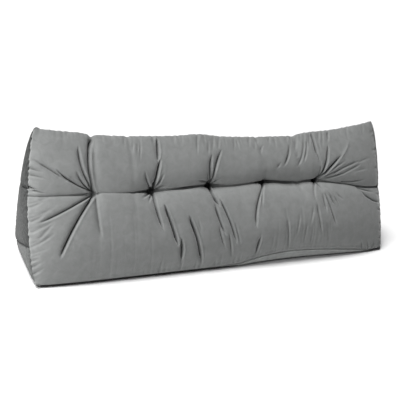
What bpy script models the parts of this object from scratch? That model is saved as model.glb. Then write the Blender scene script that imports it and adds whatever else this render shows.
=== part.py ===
"""Headboard wedge cushion: a long, filled wedge of matte grey velvet with one row of five tufts.

The cushion stands on its base. Its back is upright and its front leans back, crowned in a lower
and an upper lobe that meet in a crease through the tufts. The front cover and the filling are one
solid. The back, base and end panels are sheets of cloth that lie on that solid, each to its seams.

Units are metres. +X runs along the length, the front faces -Y and +Z is up. The origin is on the
floor under the middle of the cushion.
"""

import math

import bmesh
import bpy
from mathutils import Vector

# Sizes between the corner seams
LENGTH = 1.50
HEIGHT = 0.485
DEPTH = 0.265
HALF_LENGTH = LENGTH / 2
EAR_INSET = 0.025  # the top corners stand this far inside the bottom ones
FRONT_Y = -0.141  # the front bottom seam
BACK_Y = FRONT_Y + DEPTH
TOP_SET_FORWARD = 0.003  # the top seam stands this far before the rear bottom seam
TOP_Y = BACK_Y - TOP_SET_FORWARD
SEAM_LIFT = 0.008  # the rear bottom seam and the bottom corners lie this high above the floor
SLOPE = math.hypot(HEIGHT - SEAM_LIFT, TOP_Y - FRONT_Y)  # up the front, from seam to seam
LEAN = math.atan2(TOP_Y - FRONT_Y, HEIGHT - SEAM_LIFT)  # how far the front leans back

# How far the filling pushes the panels out of their flat planes
FRONT_CROWN = 0.052
END_CROWN = 0.010  # what is left of a crown at the end seams
CROWN_POWER = 0.65  # below 1, a crown rises steeply beside its seams
END_FADE = 6  # the higher, the nearer to the ends a crown keeps its height
END_FADE_POWER = 0.6
BACK_CROWN = 0.024
LEFT_BOW = 0.031  # the end seams bow outwards between their corners
RIGHT_BOW = 0.018
BACK_BOW_SHARE = 0.55
BASE_BOW_SHARE = 0.2
BOW_POWER = 0.45
BOW_REACH = 10  # the higher, the nearer to the ends the bows begin
END_PANEL_CROWN = 0.032
END_CROWN_POWER = 0.7
END_MIDDLE_Y = BACK_Y - 0.36 * DEPTH  # the highest point of an end's swell
END_MIDDLE_Z = 0.38 * HEIGHT
BASE_ROLL = 0.0325  # the base rolls up to its seams over this width
BASE_SWELL = 0.85  # how far the base swells forward under a lifted front seam, as a share of the lift
SEAM_FORWARD = 0.009  # the front bottom seam stands this far before its corners
SEAM_SET_BACK = 0.3  # how far a lifted front seam moves back, as a share of the lift

# The crease and the tufts
CREASE_DEPTH = 0.020
CREASE_SPREAD = 0.034
CREASE_LEFT_AT_ENDS = 0.35  # the share of its depth that the crease still has at the ends
SEAM_EASE = 0.04  # the relief fades out over this share of the slope at either seam
TUFT_DIP = 0.020  # how much deeper the crease runs beside a tuft
TUFT_DIP_REACH = 0.045
PIT_RISE = 0.016  # how far a tuft's pit reaches up and down the slope
TUFTS = (
    # place along the length, depth of the pit, reach of the pit along the crease
    (-0.540, 0.006, 0.018),
    (-0.307, 0.012, 0.022),
    (-0.057, 0.020, 0.038),
    (0.193, 0.016, 0.036),
    (0.436, 0.010, 0.020),
)

# How high up the front the crease runs: place along the length, height up the slope
CREASE_LINE = (
    (-0.77, 0.308),
    (-0.66, 0.314),
    (-0.54, 0.3255),
    (-0.307, 0.327),
    (-0.120, 0.3325),
    (0.064, 0.333),
    (0.193, 0.3365),
    (0.297, 0.327),
    (0.436, 0.3165),
    (0.507, 0.305),
    (0.573, 0.294),
    (0.640, 0.278),
    (0.724, 0.265),
    (0.77, 0.259),
)

# How much of its depth the crease reaches: place along the length, share
CREASE_SHARES = (
    (-0.75, 0.80),
    (-0.60, 0.70),
    (-0.54, 0.62),
    (-0.47, 0.48),
    (-0.40, 0.60),
    (-0.32, 1.00),
    (0.75, 1.00),
)

# The cloth
CLOTH = 0.002
CLEARANCE = 0.0003
RIM = 0.006  # a panel's edge lies this far inside its seams

# The grid that the surfaces are made on
LOWER_STEPS = 19
UPPER_STEPS = 14
STEP_EASE = 1.25  # above 1, the rows crowd towards the crease
STATIONS = 114
BACK_STEPS = 3
BASE_ROWS = (RIM, BASE_ROLL, DEPTH - BASE_ROLL, 0.245, 0.253, DEPTH - RIM)  # from the rear bottom seam
CAP_STEPS = 5
POLE_SHARE = 0.04  # the innermost ring of an end, as a share of the way to its seams
TUFT_DENSITY = 0.9
END_DENSITY = 1.6
DENSITY_REACH = 0.04
DENSITY_SAMPLES = 1500
NORMAL_STEP = 1e-4
SHARP_ANGLE = math.radians(50)

# How far the top seam dips below its corners: place along the length, drop
TOP_LINE = (
    (-0.75, 0.000),
    (-0.73, 0.007),
    (-0.68, 0.014),
    (-0.60, 0.023),
    (-0.53, 0.033),
    (-0.45, 0.040),
    (-0.30, 0.045),
    (-0.20, 0.046),
    (-0.09, 0.042),
    (0.00, 0.053),
    (0.10, 0.058),
    (0.25, 0.060),
    (0.35, 0.058),
    (0.41, 0.047),
    (0.55, 0.036),
    (0.64, 0.022),
    (0.70, 0.012),
    (0.75, 0.000),
)

# Where the top seam is gathered: place along the length, extra drop, half width
TOP_GATHERS = (
    (-0.541, 0.010, 0.014),
    (-0.395, 0.004, 0.010),
    (0.175, 0.003, 0.012),
    (0.350, 0.006, 0.012),
)

# How high the front bottom seam runs above the floor: place along the length, height
BOTTOM_LINE = (
    (-0.75, 0.010),
    (-0.70, 0.011),
    (-0.20, 0.011),
    (0.04, 0.012),
    (0.10, 0.016),
    (0.16, 0.023),
    (0.27, 0.031),
    (0.39, 0.033),
    (0.50, 0.029),
    (0.58, 0.023),
    (0.65, 0.016),
    (0.70, 0.012),
    (0.75, 0.010),
)

# The main folds of the front. Each runs from start through bend to end, given as place along the
# length and height up the slope, and has a depth.
FOLDS = (
    # start_x, start_up, bend_x, bend_up, end_x, end_up, depth
    (-0.543, 0.329, -0.581, 0.429, -0.538, 0.544, 0.011),
    (-0.544, 0.328, -0.600, 0.392, -0.598, 0.493, 0.009),
    (-0.545, 0.327, -0.622, 0.347, -0.678, 0.407, 0.009),
    (-0.642, 0.365, -0.693, 0.405, -0.747, 0.439, 0.007),
    (-0.544, 0.324, -0.636, 0.269, -0.728, 0.217, 0.008),
    (-0.543, 0.324, -0.626, 0.220, -0.671, 0.092, 0.011),
    (-0.541, 0.323, -0.544, 0.242, -0.530, 0.160, 0.007),
    (-0.307, 0.331, -0.295, 0.394, -0.278, 0.456, 0.011),
    (-0.291, 0.435, -0.279, 0.490, -0.276, 0.541, 0.011),
    (-0.310, 0.330, -0.344, 0.359, -0.346, 0.405, 0.008),
    (-0.308, 0.324, -0.322, 0.253, -0.294, 0.180, 0.008),
    (-0.277, 0.273, -0.251, 0.186, -0.229, 0.099, 0.011),
    (-0.223, 0.138, -0.204, 0.089, -0.214, 0.037, 0.011),
    (-0.182, 0.221, -0.145, 0.123, -0.124, 0.025, 0.011),
    (-0.059, 0.341, -0.074, 0.400, -0.056, 0.461, 0.010),
    (-0.056, 0.343, -0.050, 0.419, -0.007, 0.485, 0.008),
    (-0.058, 0.331, -0.070, 0.291, -0.042, 0.248, 0.011),
    (-0.067, 0.263, -0.055, 0.195, -0.031, 0.130, 0.009),
    (-0.041, 0.283, -0.004, 0.188, 0.019, 0.087, 0.008),
    (0.189, 0.334, 0.102, 0.258, 0.105, 0.137, 0.010),
    (0.125, 0.104, 0.120, 0.057, 0.111, 0.010, 0.009),
    (0.441, 0.541, 0.435, 0.481, 0.439, 0.420, 0.009),
    (0.523, 0.533, 0.514, 0.510, 0.504, 0.488, 0.009),
    (0.441, 0.326, 0.487, 0.395, 0.501, 0.477, 0.009),
    (0.436, 0.317, 0.492, 0.372, 0.557, 0.424, 0.011),
    (0.438, 0.317, 0.537, 0.369, 0.646, 0.389, 0.008),
    (0.433, 0.315, 0.394, 0.283, 0.396, 0.225, 0.008),
    (0.434, 0.315, 0.427, 0.206, 0.496, 0.104, 0.008),
    (0.395, 0.215, 0.408, 0.142, 0.420, 0.069, 0.008),
    (0.629, 0.273, 0.672, 0.257, 0.716, 0.243, 0.007),
    (0.642, 0.257, 0.684, 0.213, 0.743, 0.193, 0.007),
)
FOLD_SAMPLES = 8
FOLD_WIDTH = 0.018  # half of a fold's width
ROLL_SHARE = 0.30  # a fold has a soft roll beside it, this share of its depth high
ROLL_OFFSET = 1.5  # how many half widths the roll lies from its fold
ROLL_SIDE = (0.8, -0.6)  # the side, as (x, up), on which the folds roll over
FOLD_TAPER = 0.030  # a fold runs out over this length at its far end
FOLD_END_SHARE = 0.25  # where its running out ends, as a share of that length past its last point
FOLD_REACH = 0.09  # a fold changes nothing further away than this along the length

FRONT_TONE = (0.228, 0.234, 0.231, 1.0)
PANEL_TONE = (0.205, 0.212, 0.208, 1.0)
VELVET_ROUGHNESS = 0.88
VELVET_SHEEN = 0.4


def smooth_step(value):
    """0 below 0, 1 above 1, and an even ease between."""
    clear = min(1.0, max(0.0, value))
    return clear * clear * (3 - 2 * clear)


def arch(fraction, power):
    """A rounded arch: 0 at both ends of the span and 1 in its middle."""
    return max(0.0, math.sin(math.pi * min(1.0, max(0.0, fraction)))) ** power


def read_line(rows, x):
    """The value at x on the smooth line through the (place, value) rows."""
    last = len(rows) - 1
    place = min(max(x, rows[0][0]), rows[last][0])
    i = next(k for k in range(last) if place <= rows[k + 1][0])
    before = rows[max(i - 1, 0)]
    start = rows[i]
    end = rows[i + 1]
    after = rows[min(i + 2, last)]
    span = end[0] - start[0]
    start_slope = (end[1] - before[1]) / (end[0] - before[0])
    end_slope = (after[1] - start[1]) / (after[0] - start[0])
    f = (place - start[0]) / span
    return (
        start[1] * (1 + 2 * f) * (1 - f) ** 2
        + span * start_slope * f * (1 - f) ** 2
        + end[1] * f * f * (3 - 2 * f)
        + span * end_slope * f * f * (f - 1)
    )


def top_drop(x):
    """How far the top seam lies below its corners at x."""
    gathers = sum(drop * math.exp(-(((x - at) / reach) ** 2)) for at, drop, reach in TOP_GATHERS)
    return read_line(TOP_LINE, x) + gathers


def end_share(x, power):
    """0 in the middle of the length, rising to 1 at either end."""
    return (abs(x) / HALF_LENGTH) ** power


def bottom_seam(x):
    """The place across the depth and the height of the front bottom seam at x."""
    height = read_line(BOTTOM_LINE, x)
    forward = SEAM_FORWARD * (1 - end_share(x, BOW_REACH))
    return FRONT_Y - forward + SEAM_SET_BACK * height, height


def crown_share(x):
    """How much of a panel's crown is reached at x."""
    return max(0.0, 1 - end_share(x, END_FADE)) ** END_FADE_POWER


def bowed_x(x, up, span_fraction, strength=1.0):
    """The true place along the length of a point at x.

    Up is its share of the height, and span_fraction its share of the way across its panel.
    """
    bow = LEFT_BOW if x < 0 else RIGHT_BOW
    outward = math.copysign(bow * strength * arch(span_fraction, BOW_POWER), x)
    return x * (1 - EAR_INSET * up / HALF_LENGTH) + outward * end_share(x, BOW_REACH)


def fold_curve(row):
    """Points along one fold, as (x, up)."""
    start_x, start_up, bend_x, bend_up, end_x, end_up = row[:6]
    points = []
    for k in range(FOLD_SAMPLES + 1):
        f = k / FOLD_SAMPLES
        a = (1 - f) ** 2
        b = 2 * f * (1 - f)
        c = f * f
        points.append((a * start_x + b * bend_x + c * end_x, a * start_up + b * bend_up + c * end_up))
    return points


def nearest_on_curve(points, x, up):
    """The distance from (x, up) to the curve and the length of curve left there.

    The distance is negative on the side away from the roll.
    """
    best = (math.inf, 0.0)
    travelled = 0.0
    for (from_x, from_up), (to_x, to_up) in zip(points, points[1:]):
        run = to_x - from_x
        rise = to_up - from_up
        length = math.hypot(run, rise)
        f = min(1.0, max(0.0, ((x - from_x) * run + (up - from_up) * rise) / length**2))
        gap_x = x - from_x - f * run
        gap_up = up - from_up - f * rise
        gap = math.hypot(gap_x, gap_up)
        if gap < abs(best[0]):
            side = gap_x * ROLL_SIDE[0] + gap_up * ROLL_SIDE[1]
            best = (math.copysign(gap, side), travelled + f * length)
        travelled += length
    return best[0], travelled - best[1]


FOLD_CURVES = tuple((fold_curve(row), row[6]) for row in FOLDS)


def fold_relief(x, up):
    """How far the folds move the front out of its smooth crown at (x, up)."""
    sunk = 0.0
    raised = 0.0
    for points, depth in FOLD_CURVES:
        low_x = min(p[0] for p in points) - FOLD_REACH
        high_x = max(p[0] for p in points) + FOLD_REACH
        if not low_x < x < high_x:
            continue
        gap, to_end = nearest_on_curve(points, x, up)
        height = depth * smooth_step(FOLD_END_SHARE + to_end / FOLD_TAPER)
        sunk = max(sunk, height * math.exp(-((gap / FOLD_WIDTH) ** 2)))
        raised = max(raised, height * ROLL_SHARE * math.exp(-((gap / FOLD_WIDTH - ROLL_OFFSET) ** 2)))
    return raised - sunk


def crease_relief(x, up):
    """The crease through the tufts, with a pit at each tuft."""
    gap = up - read_line(CREASE_LINE, x)
    depth = CREASE_DEPTH
    pits = 0.0
    for tuft, pit_depth, reach in TUFTS:
        depth += TUFT_DIP * math.exp(-abs(x - tuft) / TUFT_DIP_REACH)
        pits += pit_depth * math.exp(-math.hypot((x - tuft) / reach, gap / PIT_RISE))
    share = CREASE_LEFT_AT_ENDS + (1 - CREASE_LEFT_AT_ENDS) * crown_share(x)
    share *= read_line(CREASE_SHARES, x)
    return -share * (depth * math.exp(-abs(gap) / CREASE_SPREAD) + pits)


def front_point(x, t):
    """A point of the front at x, t of the way from the bottom seam to the top seam."""
    bottom_y, bottom_z = bottom_seam(x)
    top_z = HEIGHT - top_drop(x)
    crown = (END_CROWN + FRONT_CROWN * crown_share(x)) * arch(t, CROWN_POWER)
    up = t * SLOPE
    seam_ease = smooth_step(t / SEAM_EASE) * smooth_step((1 - t) / SEAM_EASE)
    out = crown + seam_ease * (crease_relief(x, up) + fold_relief(x, up))
    return Vector(
        (
            bowed_x(x, t, t),
            bottom_y + t * (TOP_Y - bottom_y) - out * math.cos(LEAN),
            bottom_z + t * (top_z - bottom_z) + out * math.sin(LEAN),
        )
    )


def back_point(x, t):
    """A point of the back at x, t of the way from the top seam to the rear bottom seam."""
    top_z = HEIGHT - top_drop(x)
    crown = (END_CROWN + BACK_CROWN * crown_share(x)) * arch(t, CROWN_POWER)
    return Vector(
        (
            bowed_x(x, 1 - t, t, BACK_BOW_SHARE),
            TOP_Y + t * (BACK_Y - TOP_Y) + crown,
            top_z + t * (SEAM_LIFT - top_z),
        )
    )


def base_point(x, t):
    """A point of the base at x, t of the way from the rear bottom seam to the front bottom seam."""
    front_y, front_z = bottom_seam(x)
    rear_roll = 1 - smooth_step(t * DEPTH / BASE_ROLL)
    end_roll = 1 - smooth_step((HALF_LENGTH - abs(x)) / BASE_ROLL)
    rolled = min(1.0, (1 - t) * DEPTH / BASE_ROLL)
    swell = BASE_SWELL * front_z * math.sin(math.pi * rolled)
    y = BACK_Y + t * (front_y - BACK_Y) - swell
    z = max(SEAM_LIFT * max(rear_roll, end_roll), front_z * (1 - rolled) ** 2)
    return Vector((bowed_x(x, 0, t, BASE_BOW_SHARE), y, z))


SPANS = {"front": front_point, "back": back_point, "base": base_point}


def inward(span, x, t, depth):
    """The point of that panel at (x, t), moved into the cushion by depth."""
    surface = SPANS[span]
    side_x = x + NORMAL_STEP if x < 0 else x - NORMAL_STEP
    side_t = t + NORMAL_STEP if t < 0.5 else t - NORMAL_STEP
    along = surface(side_x, t) - surface(x, t)
    across = surface(x, side_t) - surface(x, t)
    normal = along.cross(across).normalized()
    point = surface(x, t)
    centre = Vector((point.x, END_MIDDLE_Y, END_MIDDLE_Z))
    if normal.dot(centre - point) < 0:
        normal.negate()
    return point + normal * depth


def station_places():
    """Places along the length for the cross-sections, closer together at the tufts and at the ends."""
    places = [-HALF_LENGTH + LENGTH * k / DENSITY_SAMPLES for k in range(DENSITY_SAMPLES + 1)]
    sums = [0.0]
    for place in places[1:]:
        density = 1 + END_DENSITY * math.exp(-(HALF_LENGTH - abs(place)) / DENSITY_REACH)
        for tuft, *_ in TUFTS:
            density += TUFT_DENSITY * math.exp(-(((place - tuft) / DENSITY_REACH) ** 2))
        sums.append(sums[-1] + density)
    stations = []
    k = 0
    for i in range(STATIONS + 1):
        while k < DENSITY_SAMPLES and sums[k] < sums[-1] * i / STATIONS:
            k += 1
        stations.append(places[k])
    for tuft, *_ in TUFTS:
        nearest = min(range(len(stations)), key=lambda i: abs(stations[i] - tuft))
        stations[nearest] = tuft
    stations[1] = RIM - HALF_LENGTH
    stations[-2] = HALF_LENGTH - RIM
    return stations


def front_fractions(x):
    """Places up the front for the points of the cross-section at x, closer together at the crease."""
    crease = read_line(CREASE_LINE, x) / SLOPE
    lower = [crease * (1 - (1 - k / LOWER_STEPS) ** STEP_EASE) for k in range(LOWER_STEPS + 1)]
    rest = 1 - crease
    upper = [crease + rest * (k / UPPER_STEPS) ** STEP_EASE for k in range(1, UPPER_STEPS + 1)]
    return lower + upper


def panel_rows(span):
    """Places across the back or the base, from one edge of its panel to the other."""
    if span == "base":
        return [row / DEPTH for row in BASE_ROWS]
    inset = RIM / HEIGHT
    return [inset + (1 - 2 * inset) * k / BACK_STEPS for k in range(BACK_STEPS + 1)]


def section(x, depth):
    """The points round one cross-section, up the front, down the back and along the base.

    The points of the back and the base are moved into the cushion by depth.
    """
    points = [front_point(x, t) for t in front_fractions(x)]
    for span in ("back", "base"):
        points += [inward(span, x, t, depth) for t in panel_rows(span)]
    return points


def end_point(side, rim_point, share, depth):
    """A point of an end, moved into the cushion by depth.

    Share is how far it is on the way from the middle of the end to that point of its seam.
    """
    middle = Vector((side * (HALF_LENGTH + END_PANEL_CROWN), END_MIDDLE_Y, END_MIDDLE_Z))
    point = middle.lerp(rim_point, share)
    fall = 1 - (1 - share**2) ** END_CROWN_POWER
    point.x = middle.x + (rim_point.x - middle.x) * fall - side * depth
    return point


def end_rings(side, depth):
    """Rings over one end, from next to its middle out to the edge of its panel."""
    rim = section(side * HALF_LENGTH, 0.0)
    edge = 1 - RIM / DEPTH
    shares = [max(POLE_SHARE, edge * k / CAP_STEPS) for k in range(CAP_STEPS + 1)]
    return [[end_point(side, point, share, depth) for point in rim] for share in shares]


def ring_of_sphere(vert, around, rings):
    """Which ring from the -Z pole, and which point of that ring, a vertex of a unit sphere is."""
    ring = round(math.acos(max(-1.0, min(1.0, -vert.co.z))) / math.pi * rings)
    point = round(math.atan2(vert.co.y, vert.co.x) / (2 * math.pi) * around) % around
    return ring, point


def split_quads(bm, order):
    """Cuts each four-sided face along the diagonal from its first corner.

    Order holds each vertex's row and its place in the row. The cloth and the filling are cut alike,
    so they lie evenly apart.
    """
    for face in [f for f in bm.faces if len(f.verts) == 4]:
        corners = list(face.verts)
        first = min(range(4), key=lambda k: order[corners[k]])
        bmesh.utils.face_split(face, corners[first], corners[(first + 2) % 4])


def mesh_object(name, bm, tone):
    """A finished object from the mesh, smooth on its faces and sharp at its seams, with its own cloth."""
    if bm.calc_volume(signed=True) < 0:
        bmesh.ops.reverse_faces(bm, faces=bm.faces)
    mesh = bpy.data.meshes.new(name)
    bm.to_mesh(mesh)
    bm.free()
    mesh.shade_smooth()
    mesh.set_sharp_from_angle(angle=SHARP_ANGLE)
    mesh.materials.append(velvet(f"{name}_velvet", tone))
    obj = bpy.data.objects.new(name, mesh)
    bpy.context.scene.collection.objects.link(obj)
    return obj


def velvet(name, tone):
    """A matte velvet of one tone."""
    material = bpy.data.materials.new(name)
    material.use_nodes = True
    shader = material.node_tree.nodes["Principled BSDF"]
    shader.inputs["Base Color"].default_value = tone
    shader.inputs["Roughness"].default_value = VELVET_ROUGHNESS
    shader.inputs["Metallic"].default_value = 0.0
    shader.inputs["Sheen Weight"].default_value = VELVET_SHEEN
    material.diffuse_color = tone
    return material


def make_cushion():
    """The front cover with its filling: one closed solid through all the cross-sections."""
    under = CLOTH + CLEARANCE
    sections = [section(x, under) for x in station_places()]
    rings = end_rings(-1, under) + sections + end_rings(1, under)[::-1]
    return wrapped_sphere("cushion", rings, FRONT_TONE)


def wrapped_sphere(name, rings, tone):
    """A sphere drawn out to the given rings, with each pole in the middle of the ring beside it."""
    bm = bmesh.new()
    around = len(rings[0])
    steps = len(rings) + 1
    bmesh.ops.create_uvsphere(bm, u_segments=around, v_segments=steps, radius=1)
    order = {}
    for vert in bm.verts:
        ring, point = ring_of_sphere(vert, around, steps)
        order[vert] = (min(ring, steps - ring), point)
        if ring in (0, steps):
            last = rings[0] if ring == 0 else rings[-1]
            vert.co = sum(last, Vector()) / around
        else:
            vert.co = rings[ring - 1][point]
    split_quads(bm, order)
    return mesh_object(name, bm, tone)


def make_panel(name, span):
    """A sheet of cloth on the back or the base: a flat slab whose two faces are laid on the cushion."""
    bm = bmesh.new()
    stations = station_places()[1:-1]
    across = panel_rows(span)
    steps = len(across) - 1
    bmesh.ops.create_grid(bm, x_segments=len(stations) - 1, y_segments=steps, size=1)
    grown = bmesh.ops.extrude_face_region(bm, geom=bm.faces[:])
    raised = {v for v in grown["geom"] if isinstance(v, bmesh.types.BMVert)}
    order = {}
    for vert in bm.verts:
        station = round((vert.co.x + 1) / 2 * (len(stations) - 1))
        row = round((vert.co.y + 1) / 2 * steps)
        order[vert] = (min(station, len(stations) - 1 - station), row)
        vert.co = inward(span, stations[station], across[row], 0.0 if vert in raised else CLOTH)
    split_quads(bm, order)
    return mesh_object(name, bm, PANEL_TONE)


def make_end_panel(name, side):
    """A triangular sheet of cloth on one end, swollen outwards by the filling."""
    return wrapped_sphere(name, end_rings(side, 0.0) + end_rings(side, CLOTH)[::-1], PANEL_TONE)


def clear_scene():
    for obj in list(bpy.data.objects):
        bpy.data.objects.remove(obj)


def main():
    clear_scene()
    make_cushion()
    make_panel("back_panel", "back")
    make_panel("base_panel", "base")
    make_end_panel("end_panel_left", -1)
    make_end_panel("end_panel_right", 1)


main()
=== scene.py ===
"""The looks of a headboard wedge cushion: matte velvet, filled, tufted and creased.

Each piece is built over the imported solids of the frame, in metres. +X runs along the length, the
tufted front faces -Y and +Z is up. A place on the front is given as (x, up): x along the length,
and up measured up the leaning front from its bottom seam.
"""

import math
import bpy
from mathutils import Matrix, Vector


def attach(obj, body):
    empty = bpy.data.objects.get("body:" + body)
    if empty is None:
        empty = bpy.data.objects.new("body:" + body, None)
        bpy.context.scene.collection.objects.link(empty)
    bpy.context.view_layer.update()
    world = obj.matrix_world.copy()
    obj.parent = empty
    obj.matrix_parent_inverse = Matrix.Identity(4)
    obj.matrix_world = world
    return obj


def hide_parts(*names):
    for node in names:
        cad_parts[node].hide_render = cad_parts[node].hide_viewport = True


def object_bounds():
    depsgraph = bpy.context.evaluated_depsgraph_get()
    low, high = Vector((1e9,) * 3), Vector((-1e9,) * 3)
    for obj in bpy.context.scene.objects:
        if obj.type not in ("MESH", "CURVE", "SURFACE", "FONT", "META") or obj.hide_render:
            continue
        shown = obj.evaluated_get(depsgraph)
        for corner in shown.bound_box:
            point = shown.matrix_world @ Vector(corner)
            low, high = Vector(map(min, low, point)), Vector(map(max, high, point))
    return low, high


bl_info = {
    "name": "Headboard Wedge Cushion",
    "version": (1, 0, 0),
    "blender": (4, 5, 0),
    "location": "View3D > Sidebar > Wedge Cushion",
    "description": "Builds a tufted velvet wedge cushion and a plain studio round it",
    "category": "Object",
}

import bmesh
import bpy
import numpy as np
from mathutils import Matrix, Vector

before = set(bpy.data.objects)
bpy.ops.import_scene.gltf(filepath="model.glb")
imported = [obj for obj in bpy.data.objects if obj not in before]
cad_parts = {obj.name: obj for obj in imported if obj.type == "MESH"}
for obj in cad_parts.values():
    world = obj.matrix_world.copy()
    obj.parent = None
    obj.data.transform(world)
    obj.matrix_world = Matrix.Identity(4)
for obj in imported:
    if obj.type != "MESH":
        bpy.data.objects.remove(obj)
CAD_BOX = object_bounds()


def in_metres(*rows):
    """A table whose rows are given in millimetres, in metres."""
    return tuple(tuple(value / 1000 for value in row) for row in rows)


# Sizes between the corner seams
LENGTH = 1.50
HALF_LENGTH = LENGTH / 2
HEIGHT = CAD_BOX[1].z
DEPTH = 0.265
EAR_INSET = 0.025  # how much further in the top corners lie than the bottom ones
FRONT_Y = -0.141
BACK_Y = FRONT_Y + DEPTH
TOP_Y = BACK_Y - 0.003
SEAM_LIFT = 0.008
SLOPE = math.hypot(HEIGHT - SEAM_LIFT, TOP_Y - FRONT_Y)
LEAN = math.atan2(TOP_Y - FRONT_Y, HEIGHT - SEAM_LIFT)
FRONT_OUT = np.array((0.0, -math.cos(LEAN), math.sin(LEAN)))

# How the panels swell
END_CROWN = 0.01  # the crown that the front and the back still have at their ends
END_ROUND_SHARE = 0.6  # how much of it the front loses as it rounds over to the end seam
END_ROUND_REACH = 0.028
CROWN_POWER = 0.65
BELLY = 0.008  # how far the filling sinks into the lower lobe and swells it
BELLY_PLACE = 0.2
BELLY_REACH = 0.15
END_FADE = 6
END_FADE_POWER = 0.6
BACK_CROWN = 0.024
LEFT_BOW = 0.031
RIGHT_BOW = 0.018
BACK_BOW_SHARE = 0.55
BASE_BOW_SHARE = 0.2
BOW_POWER = 0.45
BOW_REACH = 10
SEAM_WAVE = 0.0022
SEAM_WAVE_PITCH = 0.034
SEAM_WAVE_SHIFT = 0.7
SEAM_WAVE_REACH = 60
END_PANEL_CROWN = 0.032
END_PANEL_POWER = 0.7
END_MIDDLE_Y = BACK_Y - 0.36 * DEPTH
END_MIDDLE_Z = 0.38 * HEIGHT
BASE_ROLL = 0.0325
BAND_BULGE = 0.007
LEDGE = 0.004  # how far the base cloth stands out below the front seam
LEDGE_DROP = 0.004
LEDGE_REACH = 0.0035
LEDGE_BAND = 0.012  # the height of the band above which it has that ledge
LEAST_BAND = 1e-6  # keeps the band from vanishing
BASE_ROWS_POWER = 1.5  # how much closer together the base's rows are towards the front seam
LIP_HEIGHT = 0.0012
LIP_REACH = 0.012
CONTACT_SHADOW_HEIGHT = 0.01  # the height above the floor up to which the base cloth gets painted contact shadow
CONTACT_SHADOW_BLEND = 0.0006
SEAM_FORWARD = 0.009  # how much further forward the front bottom seam lies in the middle
SEAM_SET_BACK = 0.08  # how far back that seam leans, for its height
FOOT_SET_BACK = 0.15

# The tufts stand on the crease
TUFTS = (
    # place along the length, share of the pit depth, reach of the pit along the crease
    (-0.540, 0.15, 0.012),
    (-0.307, 0.6, 0.022),
    (-0.057, 1.2, 0.032),
    (0.193, 0.8, 0.024),
    (0.436, 0.35, 0.026),
)
TUFT_DIP_REACH = 0.045
PIT_RISE = 0.014  # the reach of a pit across the crease
CREASE_SPREAD = 0.056
CREASE_LEFT_AT_ENDS = 0.35

# How much of the crease's depth is reached: place along the length, share
CREASE_SHARES = (
    (-0.75, 0.8), (-0.6, 0.7), (-0.54, 0.62), (-0.47, 0.54), (-0.4, 0.72), (-0.32, 1.05),
    (-0.16, 1.05), (0, 1.25), (0.1, 1.25), (0.19, 1.2), (0.24, 1.6), (0.3, 1.95), (0.37, 1.65),
    (0.43, 1.15), (0.5, 1), (0.75, 1),
)
SEAM_EASE = 0.04  # how near a seam the crease and the folds fade, as a share of the way up the front
SEAM_WIDTH = 0.005
BOTTOM_RIDGE = 0.004

# How far the top seam dips below its corners: place along the length, drop
TOP_LINE = in_metres(
    (-750, 0), (-730, 7), (-680, 14), (-600, 23), (-530, 33), (-450, 40), (-300, 45), (-200, 46),
    (-90, 42), (0, 53), (100, 58), (250, 60), (350, 58), (410, 47), (550, 36), (640, 22),
    (700, 12), (750, 0),
)

# Where the top seam is gathered: place along the length, extra drop, half width
TOP_GATHERS = in_metres(
    (-541, 10, 14),
    (-395, 4, 10),
    (175, 3, 12),
    (350, 6, 12),
)

TOP_WAVE = 0.0014
TOP_WAVE_FADE = 14  # the wave dies away below the seam
TOP_WAVE_PITCH = 0.036
TOP_WAVE_SHIFT = 1.9

# Painted shade along the seam at the right end: height up the front, share
RIGHT_SEAM_PAINTED_SHADES = (
    (0.00, 0.9), (0.09, 0.7), (0.15, 0.0), (0.38, 0.0), (0.43, 0.8), (0.55, 0.9),
)
# how far in from the right seam its painted shade reaches
RIGHT_SEAM_SHADE_REACH = 0.0025
LEFT_PAINTED_HIGHLIGHT = 0.15  # painted highlight where the front curves round to its left seam
LEFT_PAINTED_HIGHLIGHT_REACH = 0.07

# How high the front bottom seam runs above the floor: place along the length, height
BOTTOM_LINE = in_metres(
    (-750, 10), (-700, 11), (-200, 11), (0, 13), (60, 19), (100, 29), (160, 40), (270, 49),
    (390, 45), (500, 35), (580, 26), (650, 17), (700, 12), (750, 10),
)

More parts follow.
